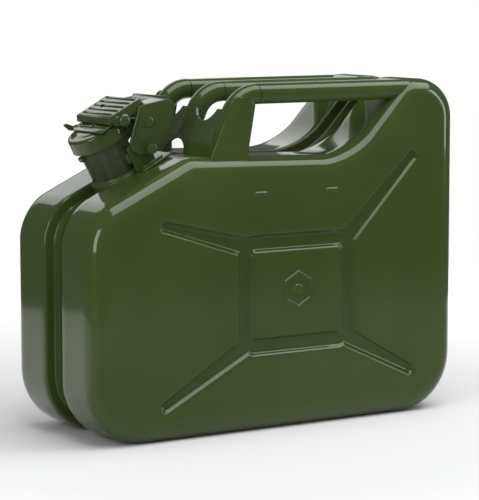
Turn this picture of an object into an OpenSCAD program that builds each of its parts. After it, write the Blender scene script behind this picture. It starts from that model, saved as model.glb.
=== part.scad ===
// Pressed-steel fuel can, 10 litres, with a three-bar handle and a lever closure.
// X runs along the can towards the hump, Y from front to back and Z up.
// The origin is the middle of the base, on the surface that the can stands on.
// The closure is drawn in its own frame: x along the shoulder towards the handle,
// y as the can's, and z up the neck, with 0 at the middle of the mouth.

/* [Body] */
// Length of the can, without the closure
body_length = 345; // [280:1:420]
// Depth over both pressed halves
body_depth = 130; // [105:1:160]
// Height to the top of the hump
body_height = 275; // [225:1:335]
// Thickness of the steel sheet
sheet = 1.1; // [0.8:0.1:1.6]
// Radius of the two bottom corners
base_corner = 48; // [30:1:55]
// Radius of the corner above the hump
hump_corner = 32; // [20:1:36]
// Radius of the corner beside the closure
shoulder_corner = 40; // [25:1:45]
// Radius of the rolled edge round the front and back faces
edge_radius = 15; // [10:1:20]

/* [Top outline] */
// Depth of the shoulder's low corner under the top
shoulder_drop = 98; // [85:1:110]
// Distance of the ridge from the closure end
ridge_distance = 90.5; // [80:1:110]
// Depth of the ridge under the top
ridge_drop = 55.5; // [52:0.5:60]
// Depth of the hollow under the handle
hollow_drop = 59; // [57:1:66]
// Length of the hump's top, to its sharp corners
hump_length = 47.5; // [44:0.5:60]
// Run of the slope from the hollow up to the hump
slope_run = 55; // [45:1:65]

/* [Seam groove] */
// Width of the groove that holds the seam
groove_width = 26; // [20:1:32]
// Depth of the groove
groove_depth = 9; // [6:0.5:11]
// Radius of the groove's lips
lip_radius = 2.5; // [1.5:0.5:4]
// Width of the weld bead
bead_width = 4; // [2:0.5:6]
// Height of the weld bead
bead_height = 1.4; // [0.8:0.1:2.5]

/* [Pressed panel] */
// Length of the raised centre panel
panel_length = 86; // [70:1:100]
// Height of the raised centre panel
panel_height = 70; // [58:1:80]
// Height of the panel's centre above the base
panel_level = 109; // [100:1:115]
// Shift of the panel towards the hump
panel_shift = 13.5; // [8:0.5:18]
// Width of the pressed channel round the panel
channel_width = 12; // [8:1:15]
// Depth of the pressed channel
channel_depth = 3.5; // [2:0.5:5]
// Distance of the lower arms' tips from the can's ends
arm_end_gap = 64; // [56:1:75]
// Distance of the upper hump-side tip from the hump end
arm_hump_gap = 45; // [42:1:60]

/* [Neck] */
// Distance of the neck's foot from the closure end
neck_distance = 58; // [54:1:62]
// Tilt of the neck from upright
neck_tilt = 28; // [24:1:30]
// Height of the mouth above the shoulder, along the neck
neck_height = 39; // [37:1:46]
// Outer radius of the neck
neck_radius = 19.5; // [17:0.5:20]
// Radius of the rolled rim's wire
rim_radius = 1.4; // [1:0.1:1.6]
// Depth of the sized part of the mouth, which takes a spout
mouth_depth = 20; // [15:1:22]
// Radial width of the collar round the neck's foot
collar_width = 5; // [4:0.5:6]
// Outer radius of the air tube
air_tube_radius = 3; // [2.5:0.5:3.5]

/* [Closure] */
// Outer radius of the cap
cap_radius = 23.5; // [23.5:0.1:23.8]
// Depth of the cap's skirt below the mouth
skirt_depth = 9; // [7:0.5:9.5]
// Thickness of the gasket
gasket_thickness = 2; // [2:0.25:2.75]
// Distance of the lever's pivot behind the neck's axis
pivot_back = 31; // [30:0.5:32]
// Depth of the lever's pivot below the mouth
pivot_drop = 8; // [7:0.5:9]
// Radius of the lever's pivot pin
pivot_radius = 3; // [2.5:0.5:3.5]
// Radius of the cap's cross pin
cap_pin_radius = 1.5; // [1.25:0.25:1.75]
// Thickness of the lever's and the bracket's sheet
lever_sheet = 2; // [1.5:0.25:2]
// Reach of the lever's tail from its pivot
tail_reach = 27; // [25:0.5:27.5]
// Radius of the locking pin
lock_radius = 2; // [1.5:0.25:2.5]
// Inward travel of the locking pin
lock_travel = 4.5; // [4:0.5:5]

/* [Handle] */
// Outer radius of a handle bar
bar_radius = 8; // [6:0.5:9]
// Wall of a handle bar
bar_wall = 1.5; // [1:0.1:2]
// Distance between neighbouring bars
bar_pitch = 51.5; // [46:0.5:52]
// Distance of the bracket's foot behind the ridge
bracket_distance = 18; // [14:1:24]
// Lean of the bracket from upright
bracket_lean = 24; // [18:1:30]
// Bend radius of a bar's elbow
elbow_radius = 24; // [18:1:28]
// Thickness of the bracket's sheet
bracket_sheet = 1.8; // [1.2:0.1:2.5]
// Length of the bracket's side flange along X
flange_length = 34; // [26:1:38]

/* [Fits] */
// Radial clearance of a pin in its moving part
pin_clearance = 0.08; // [0.05:0.01:0.1]
// Gap between flat faces of parts that move past each other
side_gap = 0.5; // [0.4:0.1:0.8]
// Gap between the gasket and the rim
seal_gap = 0.3; // [0.3:0.05:0.5]

/* [Hidden] */

paint = [0.24, 0.31, 0.16];
dark_paint = [0.16, 0.21, 0.11];
corner_steps = 6;
edge_steps = 4;
overcut = 1;
least_corner = 2;
$fn = 48;

half_length = body_length / 2;
half_depth = body_depth / 2;
half_groove = groove_width / 2;

// The outline's sharp corners, anticlockwise from the closure end's bottom, and their radii
ridge_x = ridge_distance - half_length;
ridge_z = body_height - ridge_drop;
shoulder_z = body_height - shoulder_drop;
hump_x = half_length - hump_length;
hollow_x = hump_x - slope_run;
corners = [[-half_length, 0], [half_length, 0], [half_length, body_height],
           [hump_x, body_height], [hollow_x, body_height - hollow_drop],
           [ridge_x, ridge_z], [-half_length, shoulder_z]];
radii = [base_corner, base_corner, hump_corner, 20, 65, 14, shoulder_corner];

function unit(v) = v / norm(v);
function left_of(v) = [-v[1], v[0]];
function turned(v, a) = [v[0] * cos(a) - v[1] * sin(a), v[0] * sin(a) + v[1] * cos(a)];
// Corner i of the outline after its sides have moved inward by inset
function moved_corner(points, i, inset) =
    let (m = len(points), q = points[i % m],
         e = unit(q - points[(i + m - 1) % m]), f = unit(points[(i + 1) % m] - q),
         a = q + left_of(e) * inset, b = q + left_of(f) * inset)
    a + e * (cross(b - a, f) / cross(e, f));
// The outline with arcs at its corners, moved inward by inset
function rounded(points, r, inset, steps = corner_steps) =
    let (m = len(points))
    [for (i = [0:m - 1])
        let (b = moved_corner(points, i, inset),
             e = unit(b - moved_corner(points, i + m - 1, inset)),
             f = unit(moved_corner(points, i + 1, inset) - b),
             side = sign(cross(e, f)), radius = max(r[i] - side * inset, least_corner),
             turn = acos(e * f),
             centre = b - e * radius * tan(turn / 2) + left_of(e) * side * radius)
        for (k = [0:steps])
            centre + turned(left_of(e) * -side * radius, side * turn * k / steps)];
function outline(inset) = rounded(corners, radii, inset);
// Height of the shoulder's straight surface at x
function shoulder_at(x) =
    shoulder_z + (x + half_length) * (ridge_z - shoulder_z) / (ridge_x + half_length);

// Rings of a skin, each [y, inset of the outline there]
function edge_rings(inset) =
    [for (k = [0:edge_steps])
        let (r = edge_radius - inset, a = 90 * k / edge_steps)
        [-half_depth + inset + r * (1 - cos(a)), inset + r * (1 - sin(a))]];
function backwards(list) = [for (i = [len(list) - 1:-1:0]) list[i]];
outer_rings = concat(edge_rings(0),
    [[-half_groove - lip_radius, 0], [-half_groove - lip_radius * 0.3, lip_radius * 0.3],
     [-half_groove, lip_radius], [-half_groove, groove_depth], [0, groove_depth]]);
inner_rings = concat(edge_rings(sheet),
    [[-half_groove - lip_radius, sheet], [-half_groove - sheet, lip_radius + sheet],
     [-half_groove - sheet, groove_depth + sheet], [0, groove_depth + sheet]]);
envelope_rings = concat(edge_rings(0), [for (r = backwards(edge_rings(0))) [-r[0], r[1]]]);

// A closed skin through the rings
module skin(rings) {
    count = len(outline(0));
    last = (len(rings) - 1) * count;
    polyhedron(
        points = [for (ring = rings) for (p = outline(ring[1])) [p[0], ring[0], p[1]]],
        faces = concat(
            [[for (j = [count - 1:-1:0]) j]],
            [for (i = [0:len(rings) - 2]) for (j = [0:count - 1])
                let (a = i * count + j, b = i * count + (j + 1) % count)
                each [[a, b, b + count], [a, b + count, a + count]]],
            [[for (j = [0:count - 1]) last + j]]));
}

// A flat shape in X and Z, made solid from y0 to y1
module upright(y0, y1) translate([0, y1, 0]) rotate([90, 0, 0]) linear_extrude(y1 - y0) children();
// The same shape at the front and mirrored at the back
module both_sides() { children(); mirror([0, 1, 0]) children(); }

// Neck, mouth and closure frame
neck_foot_x = neck_distance - half_length;
mouth_x = neck_foot_x - neck_height * sin(neck_tilt);
mouth_z = shoulder_at(neck_foot_x) + neck_height * cos(neck_tilt);
neck_inside = 14;
neck_bore = neck_radius - sheet + 0.25;
module at_mouth() translate([mouth_x, 0, mouth_z]) rotate([0, -neck_tilt, 0]) children();
module collar_space() at_mouth() translate([0, 0, -neck_height - 24])
    cylinder(r = neck_radius + collar_width, h = 40);

// Pressed channel: a square ring and four tapering arms
panel_x = panel_shift;
ring_x = panel_length / 2 + channel_width / 2;
ring_z = panel_height / 2 + channel_width / 2;
arm_root_half = 6.5;
arm_tip_half = 3.5;
arms = [[[-1, 1], [arm_end_gap - half_length, panel_level + 59]],
        [[-1, -1], [arm_end_gap - half_length, 28]],
        [[1, 1], [half_length - arm_hump_gap, body_height - 62]],
        [[1, -1], [half_length - arm_end_gap + 17, 37]]];
module soft_rectangle(x, z, r) {
    polygon(rounded([[-x, -z], [x, -z], [x, z], [-x, z]], [r, r, r, r], 0));
}
module arm(root, tip, grow) hull() {
    translate(root) circle(arm_root_half + grow);
    translate(tip) circle(arm_tip_half + grow);
}
module channel(grow) {
    translate([panel_x, panel_level]) difference() {
        soft_rectangle(panel_length / 2 + channel_width + grow,
                       panel_height / 2 + channel_width + grow, 8 + grow);
        soft_rectangle(panel_length / 2 - grow, panel_height / 2 - grow, 6);
    }
    for (a = arms)
        arm([panel_x + a[0][0] * ring_x, panel_level + a[0][1] * ring_z], a[1], grow);
}

module half_shell() {
    difference() {
        union() {
            skin(concat(outer_rings, backwards(inner_rings)));
            upright(-half_depth + sheet / 2, -half_depth + channel_depth + sheet) channel(sheet);
        }
        upright(-half_depth - overcut, -half_depth + channel_depth) channel(0);
        collar_space();
    }
}
module front_shell() color(paint) half_shell();
module back_shell() color(paint) mirror([0, 1, 0]) half_shell();

// Weld bead along the floor of the groove, where the two halves meet
module weld_seam() color(dark_paint) difference() {
    upright(-bead_width / 2, bead_width / 2) difference() {
        polygon(outline(groove_depth - bead_height));
        polygon(outline(groove_depth));
    }
    collar_space();
}

// Straight neck with a rolled rim
module neck() color(paint) at_mouth() difference() {
    union() {
        translate([0, 0, -neck_height - neck_inside])
            cylinder(r = neck_radius, h = neck_height + neck_inside - rim_radius);
        translate([0, 0, -rim_radius]) rotate_extrude() translate([neck_radius - 0.2, 0])
            circle(rim_radius);
    }
    translate([0, 0, -mouth_depth - overcut])
        cylinder(r = neck_radius - sheet, h = mouth_depth + 2 * overcut);
    translate([0, 0, -neck_height - neck_inside - overcut])
        cylinder(r = neck_bore, h = neck_height + neck_inside + overcut - mouth_depth);
}

// Ring that closes the groove round the neck's foot
module neck_collar() color(paint) at_mouth() translate([0, 0, -neck_height - neck_inside])
    difference() {
        cylinder(r = neck_radius + collar_width, h = neck_inside + 1.5);
        translate([0, 0, -overcut]) cylinder(r = neck_radius, h = neck_inside + 4 * overcut);
    }

// A bent tube's solid through stations, each [x, z, slope of the tube there, stretch across it]
tube_sides = 24;
module sweep(y, r, stations) {
    last = len(stations) - 1;
    translate([0, y, 0]) polyhedron(
        points = [for (t = stations) for (j = [0:tube_sides - 1])
            let (a = 360 * j / tube_sides, up = r * cos(a) * t[3])
            [t[0] - up * sin(t[2]), r * sin(a), t[1] + up * cos(t[2])]],
        faces = concat(
            [[for (j = [0:tube_sides - 1]) j]],
            [for (i = [0:last - 1]) for (j = [0:tube_sides - 1])
                let (a = i * tube_sides + j, b = i * tube_sides + (j + 1) % tube_sides)
                each [[a, a + tube_sides, b + tube_sides], [a, b + tube_sides, b]]],
            [[for (j = [tube_sides - 1:-1:0]) last * tube_sides + j]]));
}

// Air tube from the air space under the hump to the inside of the neck
air_tube_offset = neck_bore - air_tube_radius - 0.5;
air_tube_top = 24;
air_tube_wall = 1;
function from_mouth(x, z) = [mouth_x + x * cos(neck_tilt) - z * sin(neck_tilt),
                             mouth_z + x * sin(neck_tilt) + z * cos(neck_tilt)];
air_path = [[half_length - 42, body_height - 32],
            [hollow_x - 8, body_height - hollow_drop - groove_depth - 14],
            from_mouth(air_tube_offset, -neck_height - neck_inside - 3),
            from_mouth(air_tube_offset, -air_tube_top)];
function slope(a, b) = atan2(a[1] - b[1], a[0] - b[0]);
function air_stations(extra) =
    let (s = [for (i = [0:2]) slope(air_path[i], air_path[i + 1])],
         ends = [air_path[0] + extra * [cos(s[0]), sin(s[0])],
                 air_path[3] - extra * [cos(s[2]), sin(s[2])]])
    [[ends[0][0], ends[0][1], s[0], 1],
     for (i = [1:2]) [air_path[i][0], air_path[i][1], (s[i - 1] + s[i]) / 2,
                      1 / cos((s[i - 1] - s[i]) / 2)],
     [ends[1][0], ends[1][1], s[2], 1]];
module air_tube() color("gray") union() {
    difference() {
        sweep(0, air_tube_radius, air_stations(0));
        sweep(0, air_tube_radius - air_tube_wall, air_stations(overcut));
    }
    at_mouth() intersection() {
        translate([air_tube_offset + air_tube_radius - 0.5, -1.5, -air_tube_top - 10])
            cube([6, 3, 6]);
        translate([0, 0, -air_tube_top - 12]) cylinder(r = neck_bore, h = 12);
    }
}

// Closure: places and sizes shared by its parts
cheek_inner = cap_radius + 2.5;
cheek_outer = cheek_inner + lever_sheet;
wall_outer = cheek_inner - side_gap;
wall_inner = wall_outer - lever_sheet;
pivot = [pivot_back, -pivot_drop];
cap_top = seal_gap + gasket_thickness + 1.5;
yoke_top = cap_top + 1.5;
cap_pin_at = [8, yoke_top + cap_pin_radius + 0.3];
ear_radius = cap_pin_radius + 1;
lock_at = [20, -25];
head_height = 1.6;
module cross_rod(at, r, y0, y1) translate([at[0], y1, at[1]]) rotate([90, 0, 0])
    cylinder(r = r, h = y1 - y0);

// Two fixed side walls beside the neck, joined by a web behind it
web_x = 22;
module bracket_wall() {
    polygon([[8, -neck_height - 3], [web_x + 2, -neck_height - 3], [web_x + 2, -27],
             [29, -17], [pivot[0] + 4, -14], [pivot[0] + 6, -9], [pivot[0] + 4, -4],
             [pivot[0], -2.5], [25, -4.5], [12, -15], [8, -17]]);
}
module hinge_bracket() color(paint) at_mouth() difference() {
    union() {
        both_sides() upright(wall_inner, wall_outer) bracket_wall();
        translate([web_x, -wall_outer, -neck_height - 3]) cube([lever_sheet, 2 * wall_outer, 14]);
        translate([8, -wall_outer - 5, -neck_height - 1]) cube([28, 2 * wall_outer + 10, 2]);
    }
    translate([0, 0, -neck_height - 10])
        cylinder(r = neck_radius + collar_width + 0.3, h = 10 + 4);
    cross_rod(pivot, pivot_radius, -40, 40);
    cross_rod(lock_at, lock_radius + 0.4, -40, 0);
    rotate([0, neck_tilt, 0]) translate([-mouth_x, 0, -mouth_z]) skin(envelope_rings);
}

// Welded blocks that carry the bracket's walls on the neck
module bracket_spacers() color(paint) at_mouth() difference() {
    both_sides() translate([3, 15, -31]) cube([8, wall_inner - 15, 9]);
    translate([0, 0, -60]) cylinder(r = neck_radius, h = 60);
}

// Small lug under the rim at the front of the neck
module catch_lug() color(dark_paint) at_mouth() difference() {
    translate([-neck_radius - 4, -3, -15]) cube([8, 6, 4]);
    translate([0, 0, -60]) cylinder(r = neck_radius, h = 60);
}

// Pivot pin, fixed in the bracket, with a head at each end
module lever_pin() color("gray") at_mouth() {
    reach = cheek_outer + side_gap;
    cross_rod(pivot, pivot_radius, -reach, reach);
    both_sides() cross_rod(pivot, pivot_radius + 2, reach, reach + head_height);
}

tail_end = pivot + tail_reach * [cos(10), sin(10)];
cheek_front = [29, 6.5];
module cheek() {
    polygon([cheek_front, [10, -12.5], [8, -16], [8, -21], [12, -27], [24, -31.5], [32, -31],
             [43, -26], [49, -20], tail_end + [0, -6], [tail_end[0] - 1.5, tail_end[1] + 2],
             [34, 6]]);
}
module lever() color(paint) at_mouth() difference() {
    union() {
        both_sides() upright(cheek_inner, cheek_outer) cheek();
        upright(-cheek_outer, cheek_outer)
            polygon([[38, 2], [38.3, 3.9], [tail_end[0] - 1.5, tail_end[1] + 2],
                     [tail_end[0] - 2.4, tail_end[1] + 0.2]]);
    }
    cross_rod(pivot, pivot_radius + pin_clearance, -40, 40);
    cross_rod(lock_at, lock_radius + pin_clearance, -40, 0);
}

// Spacing washers between the cheeks and the bracket's walls
module lever_washers() color("gray") at_mouth() both_sides() difference() {
    cross_rod(pivot, pivot_radius + 2.5, wall_outer, wall_outer + side_gap - 0.1);
    cross_rod(pivot, pivot_radius, wall_outer - overcut, wall_outer + side_gap + overcut);
}

// Ribbed plate over the rear half of the cap, with a flange inside each cheek for the cap's pin
rib_count = 5;
plate_x = [4, 33];
flange_inner = cap_radius + 0.7;
plate_z = cap_pin_at[1] + ear_radius + 0.4;
plate_sheet = 1.5;
rib_radius = 1.1;
module plate_flange() {
    translate(cap_pin_at) circle(cap_pin_radius + 3);
    polygon([[cap_pin_at[0], plate_z + plate_sheet], cap_pin_at - [0, cap_pin_radius + 3],
             [24, 4], [32, 0.8], [36, 3], [plate_x[1], plate_z + plate_sheet]]);
}
module ribbed_plate() color(paint) at_mouth() difference() {
    union() {
        translate([plate_x[0], -cheek_inner, plate_z])
            cube([plate_x[1] - plate_x[0], 2 * cheek_inner, plate_sheet]);
        both_sides() upright(flange_inner, cheek_inner) plate_flange();
        for (i = [0:rib_count - 1])
            translate([plate_x[0] + 2.5 + i * (plate_x[1] - plate_x[0] - 5) / (rib_count - 1), 0,
                       plate_z + plate_sheet])
                rotate([90, 0, 0])
                    cylinder(r = rib_radius, h = 2 * cheek_inner - 4, center = true, $fn = 24);
    }
    cross_rod(cap_pin_at, cap_pin_radius, -40, 40);
    translate([(plate_x[0] + plate_x[1]) / 2, 8, plate_z - overcut]) cylinder(r = 2.6, h = 6);
}

// Pin that carries the cap between the plate's flanges
module cap_pin() color("gray") at_mouth() {
    reach = cheek_inner;
    cross_rod(cap_pin_at, cap_pin_radius, -reach, reach);
    both_sides() cross_rod(cap_pin_at, cap_pin_radius + 2, reach, reach + head_height);
}

// Locking pin in the front cheek, drawn at its unlocked place
module locking_pin() color("silver") at_mouth() {
    tip = -cheek_inner + side_gap / 2;
    cross_rod(lock_at, lock_radius, -cheek_outer - lock_travel - 2, tip);
    cross_rod(lock_at, lock_radius + 2.2, -cheek_outer - lock_travel - 4.5,
              -cheek_outer - lock_travel - 2);
}

// Cap with a skirt, its yoke, the rivet that joins them and the gasket inside
skirt_wall = 1.3;
module cap() color(paint) at_mouth() difference() {
    rotate_extrude() polygon([[0, cap_top], [cap_radius - 2, cap_top], [cap_radius - 0.6, cap_top - 0.6],
        [cap_radius, cap_top - 2], [cap_radius, -skirt_depth], [cap_radius - skirt_wall, -skirt_depth],
        [cap_radius - skirt_wall, cap_top - 1.5], [0, cap_top - 1.5]]);
    translate([0, 0, cap_top - 3]) cylinder(r = 2.5, h = 6);
}
ear_outer = flange_inner - side_gap;
module cap_yoke() color(paint) at_mouth() difference() {
    union() {
        translate([cap_pin_at[0] - 10, -ear_outer, cap_top]) cube([15, 2 * ear_outer, 1.5]);
        both_sides() {
            upright(ear_outer - 1.5, ear_outer) translate(cap_pin_at) circle(ear_radius);
            translate([cap_pin_at[0] - ear_radius, ear_outer - 1.5, cap_top])
                cube([2 * ear_radius, 1.5, cap_pin_at[1] - cap_top]);
        }
    }
    cross_rod(cap_pin_at, cap_pin_radius + pin_clearance, -40, 40);
    translate([0, 0, cap_top - overcut]) cylinder(r = 2.5, h = 6);
}
module yoke_rivet() color(paint) at_mouth() {
    translate([0, 0, cap_top - 1.5]) cylinder(r = 2.5, h = 3);
    translate([0, 0, yoke_top]) cylinder(r = 4, h = 0.8);
}
module gasket() color([0.05, 0.05, 0.05]) at_mouth() translate([0, 0, seal_gap]) difference() {
    cylinder(r = cap_radius - skirt_wall, h = gasket_thickness);
    translate([0, 0, -overcut]) cylinder(r = 14, h = gasket_thickness + 2 * overcut);
}

// Handle: three bars whose elbows run down into one stamped bracket
bar_z = body_height - bar_radius - 0.4;
foot_x = ridge_x + bracket_distance;
lean = 90 - bracket_lean;
elbow_drop = elbow_radius * (1 - cos(lean));
elbow_end = [-elbow_radius * sin(lean), bar_z - elbow_drop];
bar_start = foot_x + (elbow_end[1] - ridge_z) / tan(lean) + elbow_radius * sin(lean)
            + bar_radius / sin(lean);
down = [-cos(lean), -sin(lean)];
elbow_at = [bar_start + elbow_end[0], elbow_end[1]];
elbow_steps = 8;
elbow_stations = concat(
    [for (k = [0:elbow_steps])
        let (a = lean * k / elbow_steps)
        [bar_start - elbow_radius * sin(a), bar_z - elbow_radius * (1 - cos(a)), a, 1]],
    [[elbow_at[0] + 22 * down[0], elbow_at[1] + 22 * down[1], lean, 1]]);
notch_radius = bar_pitch / 2 - bar_radius - 1.5;
arch_radius = 17;
bracket_half = bar_pitch + bar_radius - 0.4;
module handle_bracket() color(paint) union() {
    for (i = [-1:1]) sweep(i * bar_pitch, bar_radius, elbow_stations);
    difference() {
        union() {
            upright(-bracket_half, bracket_half) polygon(bracket_line());
            both_sides() upright(bracket_half - bracket_sheet, bracket_half) polygon(flange_shape());
        }
        both_sides() translate([elbow_at[0] - 40, bar_pitch / 2, elbow_at[1] + 10])
            rotate([0, 90, 0]) cylinder(r = notch_radius, h = 60);
        translate([elbow_at[0] - 40, 0, ridge_z - 6]) rotate([0, 90, 0])
            cylinder(r = arch_radius, h = 60);
        skin(envelope_rings);
    }
}
// The bracket's sheet in X and Z, just inside the elbows' outer side
function bracket_line() =
    let (out = left_of(down) * -1, a = elbow_at + out * (bar_radius - 0.6), b = a + down * 60)
    [a - down * 4, b, b - out * bracket_sheet, a - down * 4 - out * bracket_sheet];
function flange_shape() =
    let (line = bracket_line(), low = line[1])
    [line[0] + [1, 3], [bar_start - 2, bar_z], [bar_start + 1, bar_z - 5],
     [foot_x + flange_length, ridge_z + 2], [foot_x + flange_length, ridge_z - 20], [low[0], ridge_z - 20],
     low + [0.6, 0]];

bar_length = hump_x + 8 - bar_start;
module handle_bar(y) color(paint) translate([bar_start, y, bar_z]) rotate([0, 90, 0]) difference() {
    cylinder(r = bar_radius, h = bar_length);
    translate([0, 0, -overcut]) cylinder(r = bar_radius - bar_wall, h = bar_length + 2 * overcut);
}
module front_handle_bar() difference() {
    handle_bar(-bar_pitch);
    skin(envelope_rings);
}
module rear_handle_bar() mirror([0, 1, 0]) front_handle_bar();
// The middle bar reaches down to the weld bead in the groove
module middle_handle_bar() difference() {
    handle_bar(0);
    upright(-groove_width, groove_width) polygon(outline(groove_depth - bead_height));
}

front_shell();
back_shell();
weld_seam();
neck();
neck_collar();
air_tube();
hinge_bracket();
bracket_spacers();
catch_lug();
handle_bracket();
front_handle_bar();
middle_handle_bar();
rear_handle_bar();
lever_pin();
lever_washers();
lever();
ribbed_plate();
cap_pin();
locking_pin();
cap();
cap_yoke();
yoke_rivet();
gasket();
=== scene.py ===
# A 10 litre pressed-steel fuel can, built in millimetres and written to the frame in metres.
# X runs along the can towards the hump, Y from front to back and Z up.
import math

import bmesh
import bpy
from mathutils import Matrix, Vector


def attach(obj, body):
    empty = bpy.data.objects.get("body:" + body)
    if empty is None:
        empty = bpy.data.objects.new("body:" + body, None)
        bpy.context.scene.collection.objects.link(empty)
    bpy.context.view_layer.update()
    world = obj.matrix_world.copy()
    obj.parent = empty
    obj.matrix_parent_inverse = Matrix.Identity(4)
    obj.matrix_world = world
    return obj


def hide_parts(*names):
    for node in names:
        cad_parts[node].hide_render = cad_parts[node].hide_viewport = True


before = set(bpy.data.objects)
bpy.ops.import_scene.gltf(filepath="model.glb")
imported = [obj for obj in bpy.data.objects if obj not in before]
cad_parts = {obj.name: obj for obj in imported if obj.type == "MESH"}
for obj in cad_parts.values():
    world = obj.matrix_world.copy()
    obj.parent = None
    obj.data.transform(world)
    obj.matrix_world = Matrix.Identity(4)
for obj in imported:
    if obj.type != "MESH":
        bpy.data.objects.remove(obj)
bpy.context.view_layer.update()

MM = 0.001
HALF_LENGTH = 172.5
HALF_DEPTH = 65.0
HEIGHT = 275.0

# The side view's sharp corners and the radius of each, from the closure end's bottom round
CORNERS = [((-172.5, 0), 48), ((172.5, 0), 48), ((172.5, 275), 32), ((125, 275), 20),
           ((70, 216), 65), ((-82, 219.5), 20), ((-172.5, 177), 40)]
EDGE = 15.0
EDGE_STEPS = 8
LIP = 2.5
HALF_GROOVE = 13.0
GROOVE_DEPTH = 9.0
GROOVE_FILLET = 1.5
SHEET = 1.1
OUTLINE_STEPS = 12
MERGE = 1e-4

# Closure frame: x along the shoulder, z up the neck, 0 at the middle of the mouth
TILT = math.radians(28)
MOUTH = Vector((-132.81, 0, 238.67))
AT_MOUTH = Matrix.Translation(MOUTH) @ Matrix.Rotation(-TILT, 4, "Y")
PIVOT = (31.0, -8.0)
CAP_PIN = (8.0, 7.1)
LOCK = (20.0, -25.0)
CHEEK_IN = 26.0
CHEEK_OUT = 28.0
WALL_IN = 23.5
WALL_OUT = 25.5
FLANGE_IN = 24.2
ALONG_Y = Matrix.Rotation(math.radians(-90), 4, "X")


# ---------------------------------------------------------------- materials

def node(tree, kind, **values):
    made = tree.nodes.new(kind)
    for name, value in values.items():
        if hasattr(made, name):
            setattr(made, name, value)
        else:
            made.inputs[name].default_value = value
    return made


def mixed(tree, factor, a, b):
    """A colour mix of a and b, each a socket or a colour."""
    mix = node(tree, "ShaderNodeMix", data_type="RGBA")
    tree.links.new(factor, mix.inputs[0])
    for socket, value in ((mix.inputs[6], a), (mix.inputs[7], b)):
        if isinstance(value, tuple):
            socket.default_value = (*value, 1)
        else:
            tree.links.new(value, socket)
    return mix.outputs[2]


def spread(tree, source, low, high, to_low=0.0, to_high=1.0):
    """source's range low to high as to_low to to_high."""
    ranged = node(tree, "ShaderNodeMapRange")
    for i, value in enumerate((low, high, to_low, to_high)):
        ranged.inputs[i + 1].default_value = value
    tree.links.new(source, ranged.inputs[0])
    return ranged.outputs[0]


def noise(tree, place, scale, detail=3.0, rough=0.5):
    made = node(tree, "ShaderNodeTexNoise", Scale=scale, Detail=detail, Roughness=rough)
    tree.links.new(place, made.inputs["Vector"])
    return made.outputs["Fac"]


def bumped(tree, height, strength, distance, under=None):
    bump = node(tree, "ShaderNodeBump", Strength=strength, Distance=distance)
    tree.links.new(height, bump.inputs["Height"])
    if under:
        tree.links.new(under, bump.inputs["Normal"])
    return bump.outputs["Normal"]


def edge_wear(tree):
    """1 on outer edges and 0 on flats, from the pointiness of the surface."""
    shape = node(tree, "ShaderNodeNewGeometry")
    return spread(tree, shape.outputs["Pointiness"], 0.56, 0.62)


def blank(name):
    """A new material, its node tree, its surface shader and the object's own coordinates."""
    made = bpy.data.materials.new(name)
    made.use_nodes = True
    tree = made.node_tree
    place = node(tree, "ShaderNodeTexCoord").outputs["Object"]
    return made, tree, tree.nodes["Principled BSDF"], place


BARE_STEEL = (0.16, 0.17, 0.15)


def enamel(name, base, light, rough_low, rough_high, peel=0.05, wear=0.0, coat=0.6):
    """Baked gloss enamel with slow colour drift, fine pale specks, orange peel and worn edges."""
    made, tree, skin, place = blank(name)
    drift = spread(tree, noise(tree, place, 9.0, 2.0), 0.35, 0.65)
    colour = mixed(tree, drift, base, light)
    speck = spread(tree, noise(tree, place, 900.0, 2.0), 0.66, 0.74, 0.0, 0.35)
    colour = mixed(tree, speck, colour, tuple(min(1, c * 1.5) for c in light))
    if wear:
        rubbed = node(tree, "ShaderNodeMath", operation="MULTIPLY")
        tree.links.new(edge_wear(tree), rubbed.inputs[0])
        tree.links.new(spread(tree, noise(tree, place, 260.0, 4.0), 0.5, 0.62, 0.0, wear),
                       rubbed.inputs[1])
        colour = mixed(tree, rubbed.outputs[0], colour, BARE_STEEL)
    tree.links.new(colour, skin.inputs["Base Color"])
    tree.links.new(spread(tree, noise(tree, place, 34.0, 4.0), 0.3, 0.7, rough_low, rough_high),
                   skin.inputs["Roughness"])
    skin.inputs["Coat Weight"].default_value = coat
    skin.inputs["Coat Roughness"].default_value = 0.03
    skin.inputs["Specular IOR Level"].default_value = 0.2
    slow = bumped(tree, noise(tree, place, 14.0, 1.0), 0.02, 0.004)
    fine = bumped(tree, noise(tree, place, 520.0, 2.0), peel, 0.0006, slow)
    tree.links.new(fine, skin.inputs["Normal"])
    tree.links.new(fine, skin.inputs["Coat Normal"])
    return made


def bead_paint(name, base):
    """Enamel over a rough weld, darker and lumpier than the sheet."""
    made = enamel(name, base, tuple(c * 1.4 for c in base), 0.3, 0.5, peel=0.3, coat=0.3)
    tree = made.node_tree
    skin = tree.nodes["Principled BSDF"]
    place = node(tree, "ShaderNodeTexCoord").outputs["Object"]
    lumps = bumped(tree, noise(tree, place, 210.0, 3.0), 0.7, 0.0012)
    tree.links.new(lumps, skin.inputs["Normal"])
    return made


def zinc(name):
    """Bright zinc plate with spangle and fine scratches."""
    made, tree, skin, place = blank(name)
    grain = noise(tree, place, 300.0, 3.0)
    tree.links.new(mixed(tree, spread(tree, grain, 0.35, 0.65), (0.40, 0.41, 0.40),
                         (0.60, 0.61, 0.60)), skin.inputs["Base Color"])
    tree.links.new(spread(tree, grain, 0.3, 0.7, 0.22, 0.42), skin.inputs["Roughness"])
    skin.inputs["Metallic"].default_value = 1.0
    tree.links.new(bumped(tree, noise(tree, place, 1500.0, 2.0), 0.15, 0.0003),
                   skin.inputs["Normal"])
    return made


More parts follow.
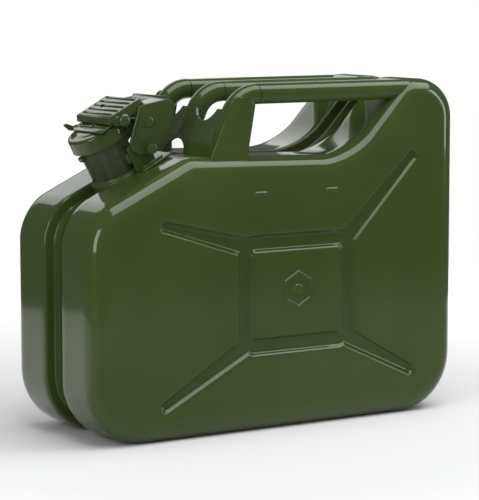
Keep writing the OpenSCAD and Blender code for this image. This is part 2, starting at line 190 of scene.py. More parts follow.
def nitrile(name):
    """Matt black seal rubber with a dusty bloom."""
    made, tree, skin, place = blank(name)
    bloom = noise(tree, place, 160.0, 4.0)
    tree.links.new(mixed(tree, spread(tree, bloom, 0.35, 0.75), (0.012, 0.012, 0.012),
                         (0.04, 0.04, 0.038)), skin.inputs["Base Color"])
    tree.links.new(spread(tree, bloom, 0.3, 0.7, 0.55, 0.8), skin.inputs["Roughness"])
    tree.links.new(bumped(tree, noise(tree, place, 1100.0, 2.0), 0.2, 0.0004),
                   skin.inputs["Normal"])
    return made


OLIVE = (0.036, 0.060, 0.012)
OLIVE_LIGHT = (0.043, 0.070, 0.015)
body_paint = enamel("can_enamel", OLIVE, OLIVE_LIGHT, 0.13, 0.19, peel=0.015, coat=0.7)
closure_paint = enamel("closure_enamel", (0.033, 0.054, 0.013), (0.042, 0.065, 0.017),
                       0.13, 0.22, peel=0.04, wear=0.15, coat=0.7)
neck_paint = enamel("neck_enamel", (0.058, 0.068, 0.042), (0.070, 0.081, 0.052),
                    0.2, 0.3, peel=0.05, coat=0.7)
weld_paint = bead_paint("weld_enamel", (0.018, 0.024, 0.012))
lap_paint = bead_paint("lap_weld_enamel", OLIVE)
zinc_plate = zinc("zinc_plate")
seal_rubber = nitrile("seal_rubber")


# ---------------------------------------------------------------- mesh helpers

def linked(name, data):
    """A new object that holds data, linked to the scene."""
    made = bpy.data.objects.new(name, data)
    bpy.context.scene.collection.objects.link(made)
    return made


def verts_of(result):
    return [g for g in result["geom"] if isinstance(g, bmesh.types.BMVert)]


def moved(bm, x=0.0, y=0.0, z=0.0, verts=None):
    bmesh.ops.translate(bm, vec=(x, y, z), verts=verts or bm.verts)


def finish_piece(name, bm, material, body, replaces=(), sharp=40):
    """Writes bm, in millimetres, as a piece of the object in metres."""
    bmesh.ops.recalc_face_normals(bm, faces=bm.faces)
    bmesh.ops.scale(bm, vec=(MM, MM, MM), verts=bm.verts)
    mesh = bpy.data.meshes.new(name)
    bm.to_mesh(mesh)
    bm.free()
    for face in mesh.polygons:
        face.use_smooth = True
    mesh.set_sharp_from_angle(angle=math.radians(sharp))
    piece = linked(name, mesh)
    mesh.materials.append(material)
    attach(piece, body)
    if replaces:
        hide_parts(*replaces)
    return piece


def placed(bm, matrix, verts=None):
    bmesh.ops.transform(bm, matrix=matrix, verts=verts or bm.verts)


def joined(bm, other):
    """Adds other's geometry to bm and frees other."""
    mesh = bpy.data.meshes.new("part")
    other.to_mesh(mesh)
    other.free()
    bm.from_mesh(mesh)
    bpy.data.meshes.remove(mesh)


def flat_outline(points, segments):
    """A face in X and Z at y = 0 through points, each (x, z) or (x, z, corner radius)."""
    bm = bmesh.new()
    verts = [bm.verts.new((p[0], 0, p[1])) for p in points]
    bm.faces.new(verts)
    count = len(points)
    for i, point in enumerate(points):
        if len(point) < 3 or point[2] <= 0:
            continue
        before = Vector(points[i - 1][:2]) - Vector(point[:2])
        after = Vector(points[(i + 1) % count][:2]) - Vector(point[:2])
        half = before.angle(after) / 2
        bmesh.ops.bevel(bm, geom=[verts[i]], offset=point[2] / math.tan(half), segments=segments,
                        profile=0.5, affect="VERTICES", offset_type="OFFSET", material=-1)
    return bm


def thickened(bm, thick):
    """Grows a flat face by thick along Y."""
    grown = bmesh.ops.extrude_face_region(bm, geom=bm.faces[:], use_keep_orig=True)
    moved(bm, y=thick, verts=verts_of(grown))


def plate(points, y0, y1, rim=0.5, segments=5):
    """A flat sheet part standing in X and Z from y0 to y1, with its edges rounded."""
    bm = flat_outline(points, segments)
    moved(bm, y=y0)
    thickened(bm, y1 - y0)
    bmesh.ops.recalc_face_normals(bm, faces=bm.faces)
    if rim:
        rims = [e for e in bm.edges if abs(e.verts[0].co.y - e.verts[1].co.y) < MERGE]
        bmesh.ops.bevel(bm, geom=rims, offset=rim, segments=3, profile=0.5, affect="EDGES",
                        offset_type="OFFSET", clamp_overlap=True, material=-1)
    return bm


def lathe(profile, steps=64):
    """A turned part: (radius, z) points spun about Z. A closed profile ends where it starts."""
    bm = bmesh.new()
    verts = [bm.verts.new((r, 0, z)) for r, z in profile]
    edges = [bm.edges.new(pair) for pair in zip(verts, verts[1:])]
    if profile[0] == profile[-1]:
        bmesh.ops.remove_doubles(bm, verts=bm.verts, dist=1e-5)
        edges = bm.edges[:]
    bmesh.ops.spin(bm, geom=bm.verts[:] + edges, cent=(0, 0, 0), axis=(0, 0, 1),
                   angle=math.tau, steps=steps, use_merge=True)
    bmesh.ops.remove_doubles(bm, verts=bm.verts, dist=MERGE)
    bmesh.ops.recalc_face_normals(bm, faces=bm.faces)
    return bm


def stud(radius, y0, y1, at, rim=0.4, steps=40):
    """A round bar along Y with rounded ends, at (x, z)."""
    flat, turn = radius - rim, radius - 0.3 * rim
    bm = lathe([(0, y0), (flat, y0), (turn, y0 + 0.3 * rim), (radius, y0 + rim),
                (radius, y1 - rim), (turn, y1 - 0.3 * rim), (flat, y1), (0, y1)], steps)
    placed(bm, Matrix.Translation((at[0], 0, at[1])) @ ALONG_Y)
    return bm


def block(x0, x1, y0, y1, z0, z1, rim=0.5, segments=3):
    """A block with rounded edges."""
    bm = bmesh.new()
    bmesh.ops.create_cube(bm, size=1)
    bmesh.ops.scale(bm, vec=(x1 - x0, y1 - y0, z1 - z0), verts=bm.verts)
    moved(bm, (x0 + x1) / 2, (y0 + y1) / 2, (z0 + z1) / 2)
    bmesh.ops.bevel(bm, geom=bm.edges[:], offset=rim, segments=segments, profile=0.5,
                    affect="EDGES", offset_type="OFFSET", material=-1)
    return bm


def mirrored(bm):
    """bm with its mirror image in Y."""
    geom = bm.verts[:] + bm.edges[:] + bm.faces[:]
    copy = bmesh.ops.duplicate(bm, geom=geom)
    faces = [g for g in copy["geom"] if isinstance(g, bmesh.types.BMFace)]
    bmesh.ops.scale(bm, vec=(1, -1, 1), verts=verts_of(copy))
    bmesh.ops.reverse_faces(bm, faces=faces)
    return bm


def rod_cutter(radius, low, high, segments=96):
    """A cylinder along Z, to cut with."""
    bm = bmesh.new()
    bmesh.ops.create_cone(bm, cap_ends=True, segments=segments, radius1=radius, radius2=radius,
                          depth=high - low)
    moved(bm, z=(low + high) / 2)
    return bm


def tube(stations, radius, sides):
    """A round bar through stations in X and Z, each (x, z, slope in degrees)."""
    bm = bmesh.new()
    ring = bmesh.ops.create_circle(bm, cap_ends=False, radius=radius, segments=sides)["verts"]
    local = [v.co.copy() for v in ring]

    def frame_at(station):
        return (Matrix.Translation((station[0], 0, station[1]))
                @ Matrix.Rotation(math.radians(90 - station[2]), 4, "Y"))

    for v, co in zip(ring, local):
        v.co = frame_at(stations[0]) @ co
    bmesh.ops.contextual_create(bm, geom=bm.edges[:])
    edges = bm.edges[:]
    for before, after in zip(stations, stations[1:]):
        grown = bmesh.ops.extrude_edge_only(bm, edges=edges)
        edges = [g for g in grown["geom"] if isinstance(g, bmesh.types.BMEdge)]
        placed(bm, frame_at(after) @ frame_at(before).inverted(), verts_of(grown))
    bmesh.ops.contextual_create(bm, geom=edges)
    bmesh.ops.recalc_face_normals(bm, faces=bm.faces)
    return bm


def temporary(source):
    mesh = bpy.data.meshes.new("work")
    source.to_mesh(mesh)
    source.free()
    return linked("work", mesh)


def cut(bm, cutters, operation="DIFFERENCE"):
    """bm after an exact cut by, or union with, each of cutters."""
    target = temporary(bm)
    tools = [temporary(c) for c in cutters]
    for tool in tools:
        step = target.modifiers.new("cut", "BOOLEAN")
        step.operation = operation
        step.solver = "EXACT"
        step.object = tool
    bpy.context.view_layer.update()
    shown = target.evaluated_get(bpy.context.evaluated_depsgraph_get())
    result = bmesh.new()
    result.from_mesh(shown.to_mesh())
    for thing in [target] + tools:
        mesh = thing.data
        bpy.data.objects.remove(thing)
        bpy.data.meshes.remove(mesh)
    return result


# ---------------------------------------------------------------- pressed halves

PANEL = (13.5, 109.0)
RING_HALF = (49.0, 41.0)
RING_CORNER = 9.0
CHANNEL_HALF = 6.0
ARM_ROOT_HALF = 6.8
ARM_TIP_HALF = 3.6
CHANNEL_DEPTH = 3.8
WALL_RUN = 4.4
ARM_TIPS = [((-1, 1), (-108.5, 168.0)), ((-1, -1), (-108.5, 28.0)),
            ((1, 1), (127.5, 213.0)), ((1, -1), (125.5, 37.0))]
# Raised marks: the middle and half length of each dash, then the badge's ring and boss
MARK_DASHES = [(-22.0, 189.0, 5.5), (46.0, 189.0, 5.5)]
DASH_HALF = 1.5
DASH_CORNER = 1.0
BADGE = (13.5, 111.0)
BADGE_REACH = 12.0
BADGE_LINE_HALF = 1.2
BADGE_BOSS = 4.2
MARK_RISE = 1.1
FRONT_GRID = 5.0


def ramp(value, low, high):
    t = min(1.0, max(0.0, (value - low) / (high - low)))
    return t * t * (3 - 2 * t)


def box_distance(x, z, half_x, half_z, corner):
    """Signed distance from a rectangle with rounded corners, less than 0 inside."""
    qx = abs(x) - half_x + corner
    qz = abs(z) - half_z + corner
    return math.hypot(max(qx, 0), max(qz, 0)) + min(max(qx, qz), 0) - corner


def channel_reach(x, z):
    """How far (x, z) is inside the pressed channel, less than 0 outside it."""
    ring = abs(box_distance(x - PANEL[0], z - PANEL[1], *RING_HALF, RING_CORNER))
    reach = CHANNEL_HALF - ring
    for (sx, sz), tip in ARM_TIPS:
        root = (PANEL[0] + sx * (RING_HALF[0] - 2.5), PANEL[1] + sz * (RING_HALF[1] - 2.5))
        dx, dz = tip[0] - root[0], tip[1] - root[1]
        t = min(1.0, max(0.0, ((x - root[0]) * dx + (z - root[1]) * dz) / (dx * dx + dz * dz)))
        wide = ARM_ROOT_HALF + (ARM_TIP_HALF - ARM_ROOT_HALF) * t
        reach = max(reach, wide - math.hypot(x - root[0] - t * dx, z - root[1] - t * dz))
    return reach


def mark_reach(x, z):
    """How far (x, z) is inside a raised mark: two dashes and the panel's plain six-sided ring."""
    dashes = [-box_distance(x - cx, z - cz, long_half, DASH_HALF, DASH_CORNER)
              for cx, cz, long_half in MARK_DASHES]
    dx, dz = abs(x - BADGE[0]), abs(z - BADGE[1])
    hexagon = max(dx * 0.5 + dz * 0.866, dx)
    return max(*dashes, BADGE_LINE_HALF - abs(hexagon - BADGE_REACH),
               BADGE_BOSS - math.hypot(dx, dz))


def pressed_depth(x, z):
    inward = CHANNEL_DEPTH * ramp(channel_reach(x, z), -WALL_RUN / 2, WALL_RUN / 2)
    return inward - MARK_RISE * ramp(mark_reach(x, z), -0.5, 0.5)


def near_press(x, z):
    return channel_reach(x, z) > -9 or mark_reach(x, z) > -3


def near_mark(x, z):
    return mark_reach(x, z) > -1.8


def side_view():
    """The can's side view as one flat face at y = 0 that faces forward, and its mesh."""
    bm = flat_outline([(x, z, r) for (x, z), r in CORNERS], OUTLINE_STEPS)
    face = bm.faces[:][0]
    if face.normal.y > 0:
        bmesh.ops.reverse_faces(bm, faces=[face])
    return bm, bm.faces[:][0]


def inset(bm, face, across, along=0.0):
    return bmesh.ops.inset_individual(bm, faces=[face], thickness=across, depth=along,
                                      use_even_offset=True)


def turned_in(bm, face, radius, steps, hollow=False):
    """Carries face in over a quarter circle, round or hollow."""
    for k in range(steps):
        a, b = (math.pi / 2 * s / steps for s in (k, k + 1))
        across = radius * (math.cos(a) - math.cos(b))
        along = radius * (math.sin(b) - math.sin(a))
        if hollow:
            across, along = along, across
        inset(bm, face, across, along)


def shell_half():
    """The front half, outer skin only: rolled edge, wall, groove lip and groove floor."""
    bm, face = side_view()
    moved(bm, y=-HALF_GROOVE - LIP)
    wall_steps = 7
    wall_step = (HALF_DEPTH - EDGE - HALF_GROOVE - LIP) / wall_steps
    for _ in range(wall_steps):
        bmesh.ops.inset_individual(bm, faces=[face], thickness=0, depth=wall_step)
    turned_in(bm, face, EDGE, EDGE_STEPS)
    rim = [e for e in bm.edges if e.is_boundary]
    cap = bmesh.ops.contextual_create(bm, geom=rim)["faces"][0]
    cap.normal_update()
    if cap.normal.y < 0:
        bmesh.ops.reverse_faces(bm, faces=[cap])
    turned_in(bm, cap, LIP, 4)
    inset(bm, cap, GROOVE_DEPTH - LIP - GROOVE_FILLET)
    turned_in(bm, cap, GROOVE_FILLET, 3, hollow=True)
    bmesh.ops.inset_individual(bm, faces=[cap], thickness=0, depth=HALF_GROOVE - GROOVE_FILLET)
    bmesh.ops.delete(bm, geom=[cap], context="FACES_ONLY")
    return bm


def gridded(bm, step, region=None):
    """Cuts bm, or only its faces that region picks, into strips at every step along X and Z."""
    for axis, low, high in ((Vector((1, 0, 0)), -HALF_LENGTH, HALF_LENGTH),
                            (Vector((0, 0, 1)), 0.0, HEIGHT)):
        for k in range(1, int((high - low) / step)):
            faces = [f for f in bm.faces if region is None or region(f)]
            geom = ({v for f in faces for v in f.verts} | {e for f in faces for e in f.edges}
                    | set(faces))
            bmesh.ops.bisect_plane(bm, geom=list(geom), dist=MERGE,
                                   plane_co=axis * (low + k * step), plane_no=axis)


def neck_hole(radius):
    bm = rod_cutter(radius, -63, -23)
    placed(bm, AT_MOUTH)
    return bm


def on_front(face):
    return all(v.co.y < -HALF_DEPTH + 0.01 for v in face.verts)


def pressed_half():
    """The front half with its press lines, finer where they run, and with the sheet's thickness."""
    bm = shell_half()
    gridded(bm, FRONT_GRID, on_front)
    for wanted, cuts in ((near_press, 4), (near_mark, 2)):
        edges = {e for f in bm.faces if on_front(f) and len(f.verts) == 4
                 and wanted(f.calc_center_median().x, f.calc_center_median().z)
                 for e in f.edges}
        bmesh.ops.subdivide_edges(bm, edges=list(edges), cuts=cuts, use_grid_fill=True)
    for v in bm.verts:
        if v.co.y < -HALF_DEPTH + 0.01:
            v.co.y += pressed_depth(v.co.x, v.co.z)
    bmesh.ops.recalc_face_normals(bm, faces=bm.faces)
    if sum(f.normal.y * f.calc_area() for f in bm.faces) >= 0:
        bmesh.ops.reverse_faces(bm, faces=bm.faces)
    bmesh.ops.solidify(bm, geom=bm.faces[:], thickness=SHEET)
    return bm


SHELL_HOLE_R = 20.3


def shell_piece(name, source, side):
    bm = bmesh.new()
    bm.from_mesh(source)
    if side > 0:
        bmesh.ops.scale(bm, vec=(1, -1, 1), verts=bm.verts)
        bmesh.ops.reverse_faces(bm, faces=bm.faces)
    bm = cut(bm, [neck_hole(SHELL_HOLE_R)])
    return finish_piece(name, bm, body_paint, "can", [name], sharp=50)


half = pressed_half()
half_mesh = bpy.data.meshes.new("pressed_half")
half.to_mesh(half_mesh)
half.free()
shell_piece("front_shell", half_mesh, -1)
shell_piece("back_shell", half_mesh, 1)
bpy.data.meshes.remove(half_mesh)


# ---------------------------------------------------------------- seam and neck

SEAM_HALF = 2.2


def seam_bead():
    """Bead along the groove's floor."""
    bm = flat_outline([(x, z, r) for (x, z), r in CORNERS], OUTLINE_STEPS)
    face = bm.faces[:][0]
    inset(bm, face, GROOVE_DEPTH - 0.9)
    ring = inset(bm, face, 1.2)["faces"]
    bmesh.ops.delete(bm, geom=[f for f in bm.faces if f not in ring], context="FACES")
    moved(bm, y=-SEAM_HALF)
    thickened(bm, 2 * SEAM_HALF)
    gridded(bm, 3.0)
    bmesh.ops.bevel(bm, geom=[e for e in bm.edges if e.is_manifold and e.calc_face_angle(0) > 1.2],
                    offset=0.55, segments=2, profile=0.5, affect="EDGES", offset_type="OFFSET",
                    material=-1)
    return bm


finish_piece("weld_seam", cut(seam_bead(), [neck_hole(SHELL_HOLE_R + 0.1)]), weld_paint,
             "can", ["weld_seam"])

NECK_R = 19.5
BORE_R = 18.4
neck = lathe([(BORE_R + 0.25, -53), (NECK_R - 0.3, -53), (NECK_R, -52.6), (NECK_R, -3.4),
              (NECK_R + 0.5, -2.8), (NECK_R + 1.0, -2.2), (NECK_R + 1.2, -1.4),
              (NECK_R + 1.0, -0.6), (NECK_R + 0.5, -0.15), (NECK_R - 0.2, 0),
              (NECK_R - 0.8, -0.25), (BORE_R + 0.1, -0.8), (BORE_R, -1.4), (BORE_R, -20),
              (BORE_R + 0.25, -20.3), (BORE_R + 0.25, -53)], 96)
placed(neck, AT_MOUTH)
finish_piece("neck", neck, neck_paint, "can", ["neck"])

COLLAR_IN = NECK_R + 0.02
collar = lathe([(COLLAR_IN, -45), (21.6, -45), (21.8, -44.8), (21.9, -40.2), (22.0, -39.4),
                (22.0, -38.7), (21.8, -38.0), (21.3, -37.5), (20.7, -37.2), (20.1, -36.7),
                (19.8, -36.0), (COLLAR_IN, -35.4), (COLLAR_IN, -45)], 96)
placed(collar, AT_MOUTH)
finish_piece("neck_collar", collar, lap_paint, "can", ["neck_collar"])


# ---------------------------------------------------------------- handle

BAR_R = 8.0
BAR_Z = 266.6
BAR_START = -18.7
PITCH = 51.5
ELBOW_R = 24.0
LEAN = 66.0
BAR_END = 133.0
BAR_SIDES = 48
ELBOW_STEPS = 12


def elbow_station(slope):
    """The bar's middle where it has turned down by slope degrees."""
    turn = math.radians(slope)
    return (BAR_START - ELBOW_R * math.sin(turn), BAR_Z - ELBOW_R * (1 - math.cos(turn)), slope)


elbow = [elbow_station(LEAN * k / ELBOW_STEPS) for k in range(ELBOW_STEPS + 1)]
down = Vector((-math.cos(math.radians(LEAN)), -math.sin(math.radians(LEAN))))
elbow_foot = Vector(elbow[-1][:2])


def bar(y, end):
    """A straight handle bar with a short spigot in the end that meets the bracket."""
    bm = tube([(end, BAR_Z, 0), (BAR_START + 8, BAR_Z, 0), (BAR_START + 0.8, BAR_Z, 0)],
              BAR_R, BAR_SIDES)
    joined(bm, tube([(BAR_START + 1.2, BAR_Z, 0), (BAR_START - 0.2, BAR_Z, 0)],
                    BAR_R - 0.7, BAR_SIDES))
    moved(bm, y=y)
    return bm


for name, y, end in (("front_handle_bar", -PITCH, BAR_END - 5), ("middle_handle_bar", 0, BAR_END),
                     ("rear_handle_bar", PITCH, BAR_END - 5)):
    finish_piece(name, bar(y, end), body_paint, "can", [name])


BRACKET_HALF = PITCH + BAR_R - 0.4
SHEET_THICK = 1.8
NOTCH_R = 17.2
ARCH_R = 17
ARCH_Z = 213.5
FLANGE_FOOT_X = -29.0
SKIN_OUT = Vector((down.y, -down.x))
sheet_top = elbow_foot + SKIN_OUT * (BAR_R - 0.5)
sheet_foot = sheet_top + down * 42


def body_block():
    """The can's outer form, closed, to trim parts that meet it."""
    bm, face = side_view()
    bmesh.ops.inset_individual(bm, faces=[face], thickness=0, depth=HALF_DEPTH - EDGE)
    turned_in(bm, face, EDGE, EDGE_STEPS)
    bmesh.ops.remove_doubles(bm, verts=bm.verts, dist=MERGE)
    geom = bm.verts[:] + bm.edges[:] + bm.faces[:]
    bmesh.ops.mirror(bm, geom=geom, axis="Y", merge_dist=1e-3)
    bmesh.ops.delete(bm, geom=[v for v in bm.verts if not v.link_faces], context="VERTS")
    bmesh.ops.recalc_face_normals(bm, faces=bm.faces)
    return bm


def cross_hole(radius, y, z):
    """A cylinder along X through the bracket's sheet, to cut with."""
    bm = rod_cutter(radius, -45, 45, 72)
    placed(bm, Matrix.Translation((elbow_foot.x, y, z)) @ Matrix.Rotation(math.pi / 2, 4, "Y"))
    return bm


def stamped_bracket():
    """The bracket's sheet with its notches and arch, and the three arms that end in it."""
    stations = elbow + [(elbow_foot.x + down.x * s, elbow_foot.y + down.y * s, LEAN)
                        for s in (5, 10, 15, 20)]
    arms = []
    for i in (-1, 0, 1):
        arm = tube(stations, BAR_R + 0.25, BAR_SIDES)
        moved(arm, y=i * PITCH)
        arms.append(arm)
    a, b = sheet_top, sheet_foot
    sheet = plate([(a.x, a.y), (b.x, b.y), tuple(b - SKIN_OUT * SHEET_THICK),
                   tuple(a - SKIN_OUT * SHEET_THICK)], -BRACKET_HALF, BRACKET_HALF, rim=0)
    holes = []
    for side in (-1, 1):
        middle_y, low = side * PITCH / 2, elbow_foot.y + 10.5
        holes.append(cross_hole(NOTCH_R, middle_y, low))
        holes.append(block(elbow_foot.x - 45, elbow_foot.x + 45, middle_y - NOTCH_R + 0.02,
                           middle_y + NOTCH_R - 0.02, low + 0.1, low + 40, rim=0.01, segments=1))
    return cut(sheet, holes + [cross_hole(ARCH_R, 0, ARCH_Z)]), arms


def side_flange():
    a, b = sheet_top - down * 3, sheet_foot
    bm = plate([(a.x - 0.5, a.y), (a.x + 5.5, a.y + 8, 4), (-27, 262.5, 6), (-23, 259, 3),
                (FLANGE_FOOT_X, 226, 6), (FLANGE_FOOT_X, 200), (b.x, 200), (b.x - 0.5, b.y)],
               BRACKET_HALF - SHEET_THICK - 0.6, BRACKET_HALF + 0.2, rim=1.0)
    return mirrored(bm)


sheet, arms = stamped_bracket()
whole = cut(sheet, [side_flange(), *arms], "UNION")
finish_piece("handle_bracket", cut(whole, [body_block()]), body_paint, "can",
             ["handle_bracket"], sharp=38)


# ---------------------------------------------------------------- closure

def closure_piece(name, parts, body, material=None, sharp=38):
    bm = bmesh.new()
    for part in parts:
        joined(bm, part)
    placed(bm, AT_MOUTH)
    return finish_piece(name, bm, material or closure_paint, body, [name], sharp)


NECK_CUT_R = NECK_R - 0.02
LOCK_R = 2.0

# Fixed bracket: two walls beside the neck, a web behind it and a foot on the shoulder
WALL = [(5, -41.5, 1), (24, -41.5, 1), (24, -27, 3), (29, -17, 4), (35, -14, 3), (37, -9, 4),
        (35, -4, 3), (31, -2.5, 3), (25, -4.5, 4), (12, -15, 3), (5, -17.5, 2)]
walls = cut(mirrored(plate(WALL, WALL_IN, WALL_OUT, rim=0.5)),
            [stud(LOCK_R + 0.4, -WALL_OUT - 3, -WALL_IN + 3, LOCK, 0.2)])
web = block(22, 24, -WALL_OUT + 0.3, WALL_OUT - 0.3, -42, -28, rim=0.4)
foot = block(8, 36, -WALL_OUT - 5, WALL_OUT + 5, -40, -38, rim=0.8)
foot_bead = mirrored(block(10, 30, WALL_OUT - 0.4, WALL_OUT + 1.6, -38.4, -36.6, rim=0.8))
bracket = bmesh.new()
for part in (walls, web, foot, foot_bead):
    joined(bracket, cut(part, [rod_cutter(NECK_R + 5.3, -50, -35.5)]))
placed(bracket, AT_MOUTH)
finish_piece("hinge_bracket", bracket, body_paint, "can", ["hinge_bracket"], sharp=38)

spacers = mirrored(block(3, 11, 15, WALL_IN, -31, -22, rim=2.2, segments=5))
closure_piece("bracket_spacers", [cut(spacers, [rod_cutter(NECK_CUT_R, -60, 0)])], "can",
              body_paint)
lug = block(-23.5, -15, -3, 3, -15, -11, rim=1.2, segments=4)
closure_piece("catch_lug", [cut(lug, [rod_cutter(NECK_CUT_R, -60, 0)])], "can",
              body_paint)

# Lever: cheeks with a rolled front edge, and a tail that curls up for the thumb
CHEEK = [(29, 6.5, 1.2), (10, -12.5, 1.5), (8, -16, 2), (8, -21, 2.5), (12, -27, 3),
         (24, -31.5, 5), (32, -31, 5), (43, -26, 6), (49, -20, 6), (57.6, -9.3, 2.5),
         (56.1, -1.3, 1.5), (34, 6, 3)]
EDGE_ROLL = [(10.6, -12.9, 45), (15, -8.5, 45), (25, 1.5, 45), (29.4, 5.9, 45)]
TAIL = [(36, 3.6, 0.5), (40, 1.6, 2), (54, -2.9, 4), (57.2, -0.6, 0.6), (56.6, 0.8, 0.6),
        (54, -0.9, 3), (40.4, 3.6, 3), (36.2, 5.2, 0.5)]
tail = plate(TAIL, -CHEEK_OUT + 0.4, CHEEK_OUT - 0.4, rim=0.4)
roll = tube(EDGE_ROLL, 1.15, 20)
moved(roll, y=CHEEK_OUT)
cheeks = cut(mirrored(plate(CHEEK, CHEEK_IN, CHEEK_OUT, rim=0.55)),
             [stud(LOCK_R + 0.2, -CHEEK_OUT - 3, -CHEEK_IN + 3, LOCK, 0.2)])
closure_piece("lever", [cheeks, mirrored(roll), tail], "lever_arm")

# Ribbed plate with a flange at each side for the cap's pin
PLATE_Z = CAP_PIN[1] + 2.9
PLATE_X = (4.0, 33.0)
FLANGE = [(4.2, PLATE_Z + 1.2, 0.8), (3.0, CAP_PIN[1], 3.6), (5.2, CAP_PIN[1] - 5.0, 3.6),
          (10, CAP_PIN[1] - 5.0, 4), (24, 4, 6), (32, 0.8, 2), (36, 3, 1), (33, PLATE_Z + 1.2, 1)]
deck = block(*PLATE_X, -CHEEK_IN, CHEEK_IN, PLATE_Z, PLATE_Z + 1.5, rim=0.5)
hole = rod_cutter(2.6, 0, 30)
moved(hole, sum(PLATE_X) / 2, 8)
RIB_COUNT = 5
RIB_PITCH = 5.8
RIB_HALF = CHEEK_IN - 3.6
ribs = [stud(1.6, -RIB_HALF, RIB_HALF, (PLATE_X[0] + 3.6 + i * RIB_PITCH, PLATE_Z + 0.8),
             rim=1.2, steps=32) for i in range(RIB_COUNT)]
lip = plate([(4.8, PLATE_Z + 1.4, 1.6), (2.4, PLATE_Z + 1.2, 2.0), (0.6, PLATE_Z - 3.6, 0.6),
             (2.0, PLATE_Z - 4.0, 0.6), (3.9, PLATE_Z + 0.1, 1.2), (4.8, PLATE_Z + 0.1, 0.3)],
            -CHEEK_IN + 0.2, CHEEK_IN - 0.2, rim=0.35)
deck = cut(cut(deck, [lip, *ribs], "UNION"), [hole])
boss_top = CHEEK_IN + 3.6
boss = lathe([(0, boss_top), (2.0, boss_top - 0.2), (3.6, boss_top - 0.8), (4.7, boss_top - 1.7),
              (5.3, boss_top - 2.8), (5.4, CHEEK_IN - 0.3), (0, CHEEK_IN - 0.3)], 48)
placed(boss, Matrix.Translation((13.6, 0, 3.4)) @ ALONG_Y)
flanges = mirrored(plate(FLANGE, FLANGE_IN, CHEEK_IN, rim=0.5, segments=7))
closure_piece("ribbed_plate", [deck, mirrored(boss), flanges], "lever_arm")


def headed_pin(radius, half, at, head, height):
    """A pin with a domed head at each end."""
    profile = [(0, half + height), (head * 0.55, half + height * 0.93),
               (head * 0.85, half + height * 0.6), (head, half + height * 0.2),
               (head, half + 0.02), (radius, half)]
    profile += [(r, -y) for r, y in reversed(profile)]
    bm = lathe(profile, 48)
    placed(bm, Matrix.Translation((at[0], 0, at[1])) @ ALONG_Y)
    return bm


closure_piece("lever_pin", [headed_pin(3, CHEEK_OUT + 0.5, PIVOT, 4.2, 0.9)], "can")
closure_piece("cap_pin", [headed_pin(1.5, CHEEK_IN, CAP_PIN, 2.6, 1.0)], "lever_arm")
lock_y = -CHEEK_OUT - 4.5
closure_piece("locking_pin", [stud(LOCK_R, lock_y - 2, -CHEEK_IN + 0.25, LOCK, 0.3),
                              stud(4.2, lock_y - 4.5, lock_y - 2, LOCK, 0.9)], "lock")

# Cap, its saddle yoke and the rivet that joins them
CAP_R = 23.5
CAP_IN = 22.2
CAP_TOP = 3.8
CAP_UNDER = 2.3
YOKE_TOP = 5.3
cap_profile = [(0, CAP_TOP), (2.5, CAP_TOP), (14, CAP_TOP), (15, CAP_TOP - 0.15),
               (16, CAP_TOP - 0.5), (17, CAP_TOP - 0.65), (20.6, CAP_TOP - 0.65),
               (21.8, CAP_TOP - 0.8), (22.8, CAP_TOP - 1.3), (23.3, CAP_TOP - 2.0),
               (CAP_R, CAP_TOP - 3.0), (CAP_R, -7.6), (23.6, -8.0), (23.6, -8.7),
               (CAP_R - 0.3, -9.0), (22.5, -9.0), (CAP_IN, -8.7), (CAP_IN, 1.9),
               (21.8, CAP_UNDER), (0, CAP_UNDER)]
closure_piece("cap", [lathe(cap_profile, 96)], "cap_body")
EAR = FLANGE_IN - 0.5
saddle = block(-2, 13, -EAR, EAR, CAP_TOP - 0.02, YOKE_TOP, rim=0.5)
strip = block(-9, -1, -EAR - 1.5, EAR + 3, CAP_TOP - 0.02, YOKE_TOP - 0.1, rim=0.5)
horn = plate([(-9, 4.2, 0.3), (-12, 10.8, 1.2), (-8.6, 10, 1.2), (-3, 4.2, 0.3)],
             EAR + 1.6, EAR + 3, rim=0.4)
ears = mirrored(plate([(5.5, CAP_TOP + 0.2), (5.5, CAP_PIN[1] + 2.5, 2.3),
                       (10.5, CAP_PIN[1] + 2.5, 2.3), (10.5, CAP_TOP + 0.2)],
                      EAR - 1.5, EAR, rim=0.3))
closure_piece("cap_yoke", [saddle, strip, horn, ears], "cap_body")
closure_piece("yoke_rivet", [lathe([(0, 6.1), (1.6, 6.05), (3.0, 5.85), (3.8, 5.5),
                                    (4.0, YOKE_TOP + 0.01), (2.5, YOKE_TOP), (2.5, CAP_UNDER),
                                    (0, CAP_UNDER)], 48)], "cap_body")
SEAL_IN = 14
SEAL_OUT = CAP_IN - 0.01
seal = lathe([(SEAL_IN, 0.5), (14.3, 0.3), (21.9, 0.3), (SEAL_OUT, 0.5), (SEAL_OUT, 2.2),
              (22.1, CAP_UNDER), (14.1, CAP_UNDER), (SEAL_IN, 2.2), (SEAL_IN, 0.5)], 96)
closure_piece("gasket", [seal], "cap_body", seal_rubber)

# Thin washers between the bracket's walls and the lever's cheeks
WASHER_IN = 3.02
WASHER_TOP = WALL_OUT + 0.4
washer = lathe([(WASHER_IN, WALL_OUT), (5.4, WALL_OUT), (5.5, WALL_OUT + 0.1), (5.5, WASHER_TOP),
                (WASHER_IN, WASHER_TOP), (WASHER_IN, WALL_OUT)], 48)
placed(washer, Matrix.Translation((PIVOT[0], 0, PIVOT[1])) @ ALONG_Y)
closure_piece("lever_washers", [mirrored(washer)], "can")


# ---------------------------------------------------------------- stage, light, camera

FLOOR_WHITE = (0.82, 0.82, 0.82)


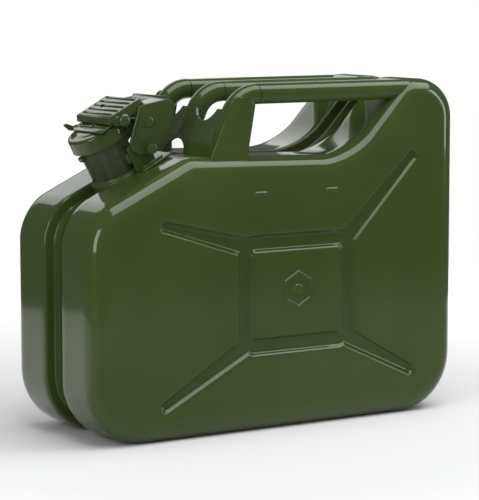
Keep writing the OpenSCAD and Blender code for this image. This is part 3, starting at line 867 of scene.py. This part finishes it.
def stage():
    """A round pale floor. In what mirrors it, painted shade darkens its front side and its rim, and
    a painted glow grows towards its far edge.
    """
    bm = bmesh.new()
    bmesh.ops.create_circle(bm, cap_ends=True, radius=1.0, segments=128)
    data = bpy.data.meshes.new("floor")
    bm.to_mesh(data)
    bm.free()
    floor = linked("floor", data)
    made, tree, skin, place = blank("pale_floor")
    skin.inputs["Roughness"].default_value = 0.7
    skin.inputs["Emission Color"].default_value = (1, 1, 1, 1)
    mirror_ray = node(tree, "ShaderNodeLightPath").outputs["Is Glossy Ray"]
    far = node(tree, "ShaderNodeVectorMath", operation="LENGTH")
    tree.links.new(place, far.inputs[0])
    behind = node(tree, "ShaderNodeSeparateXYZ")
    tree.links.new(place, behind.inputs[0])
    # Painted shade: in reflections the floor is dark on its front side and darker still at its rim
    painted_front_shade = mixed(tree, spread(tree, behind.outputs[1], -0.15, 0.05), (0.22, 0.22, 0.21),
                      FLOOR_WHITE)
    table = mixed(tree, spread(tree, far.outputs["Value"], 0.76, 0.82), painted_front_shade,
                  (0.1, 0.1, 0.1))
    tree.links.new(mixed(tree, mirror_ray, FLOOR_WHITE, table), skin.inputs["Base Color"])
    # Painted glow: the floor gives off light in reflections only, more towards its far edge, though
    # it is no lamp
    painted_glow_strength = node(tree, "ShaderNodeMix", data_type="FLOAT")
    painted_glow_strength.inputs[3].default_value = 0.0
    tree.links.new(mirror_ray, painted_glow_strength.inputs[0])
    tree.links.new(spread(tree, far.outputs["Value"], 0.3, 0.9, 0.0, 0.5), painted_glow_strength.inputs[2])
    tree.links.new(painted_glow_strength.outputs[0], skin.inputs["Emission Strength"])
    data.materials.append(made)


def soft_light(name, place, target, size, power, mirrored_in_paint=True):
    data = bpy.data.lights.new(name, "AREA")
    data.shape = "RECTANGLE"
    data.size, data.size_y = size
    data.energy = power
    lamp = linked(name, data)
    lamp.location = place
    lamp.visible_glossy = mirrored_in_paint
    lamp.rotation_euler = (Vector(target) - Vector(place)).to_track_quat("-Z", "Y").to_euler()


stage()
middle = (0, 0, 0.14)
soft_light("left_box", (-1.5, -0.6, 0.6), middle, (0.5, 1.1), 8)
soft_light("front_box", (-0.6, -2.0, 2.2), middle, (1.8, 1.0), 14, False)
soft_light("top_box", (0.55, -0.4, 1.7), (0.55, -0.25, 0), (2.4, 1.3), 30)
soft_light("right_box", (1.7, -1.1, 0.7), middle, (0.35, 1.3), 7)
soft_light("back_box", (0.4, 1.8, 1.2), middle, (1.6, 0.7), 4)


def studio_world():
    """White to the eye and dark in reflections, as a lit table in a dim room is."""
    world = bpy.data.worlds.new("studio")
    world.use_nodes = True
    tree = world.node_tree
    rays = node(tree, "ShaderNodeLightPath")
    room = tree.nodes["Background"]
    room.inputs[0].default_value = (0.95, 0.97, 1.0, 1)
    room.inputs[1].default_value = 0.3
    picked = room.outputs[0]
    for ray, level in (("Is Glossy Ray", 0.1), ("Is Camera Ray", 1.0)):
        seen = node(tree, "ShaderNodeBackground", Strength=level)
        seen.inputs[0].default_value = (1, 1, 1, 1)
        pick = node(tree, "ShaderNodeMixShader")
        tree.links.new(rays.outputs[ray], pick.inputs[0])
        tree.links.new(picked, pick.inputs[1])
        tree.links.new(seen.outputs[0], pick.inputs[2])
        picked = pick.outputs[0]
    tree.links.new(picked, tree.nodes["World Output"].inputs[0])
    bpy.context.scene.world = world


studio_world()
bpy.context.scene.view_settings.view_transform = "Standard"

camera_data = bpy.data.cameras.new("camera")
camera_data.sensor_width = 36
camera_data.lens = 165
camera = linked("camera", camera_data)
azimuth, elevation, distance = math.radians(-33), math.radians(6.8), 1.865
aim = Vector((0.0, 0.0, 0.137))
camera.location = aim + distance * Vector((math.sin(azimuth) * math.cos(elevation),
                                           -math.cos(azimuth) * math.cos(elevation),
                                           math.sin(elevation)))
camera.rotation_euler = (aim - camera.location).to_track_quat("-Z", "Y").to_euler()
bpy.context.scene.camera = camera

tube_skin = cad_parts["air_tube"].data.materials
tube_skin.clear()
tube_skin.append(zinc_plate)

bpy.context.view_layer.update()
